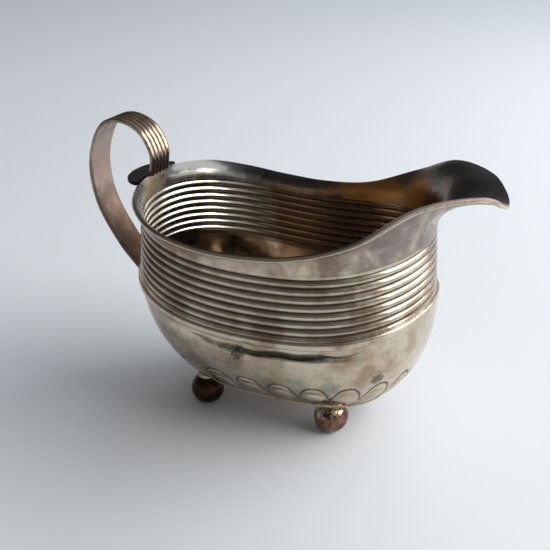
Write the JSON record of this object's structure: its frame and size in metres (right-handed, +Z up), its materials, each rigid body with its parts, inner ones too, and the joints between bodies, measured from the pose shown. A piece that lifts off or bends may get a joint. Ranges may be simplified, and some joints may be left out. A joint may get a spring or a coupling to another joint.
{
  "type": "cream jug",
  "caption": "Rounded-oblong silver cream jug with reeded wall, pouring lip, reeded strap handle and ball feet.",
  "frame": {"origin": "on the surface that the jug stands on, below the middle of the whole jug from strap to lip", "axes": "+X toward the pouring lip, +Z up, +Y toward the jug's left side; the body is symmetric about the XZ plane"},
  "size_m": [0.1362, 0.0748, 0.0905],
  "materials": {
    "worn_silver": "sterling silver, worn and tarnished, rubbed bright on the crests",
    "gilt_tarnish": "silver plate edge with a golden-brown tarnish",
    "strap_silver": "satin silver with pink-brown tarnish",
    "dark_silver": "silver with a heavy dark tarnish",
    "solder": "rough silver solder",
    "copper_worn": "copper-brown metal where the silver is worn through"
  },
  "bodies": {
    "root": {"lower_bowl": "worn_silver", "reeded_wall": "worn_silver", "neck_and_lip": "worn_silver", "rim_wire": "worn_silver", "joint_moulding": "worn_silver", "base_plate": "gilt_tarnish", "handle_strap": "strap_silver", "handle_wing": "dark_silver", "handle_pad": "strap_silver", "seat_front_left": "solder", "seat_front_right": "solder", "seat_back_left": "solder", "seat_back_right": "solder", "ball_top_front_left": "copper_worn", "ball_top_front_right": "copper_worn", "ball_top_back_left": "copper_worn", "ball_top_back_right": "copper_worn", "ball_bottom_front_left": "copper_worn", "ball_bottom_front_right": "copper_worn", "ball_bottom_back_left": "copper_worn", "ball_bottom_back_right": "copper_worn"}
  },
  "joints": []
}
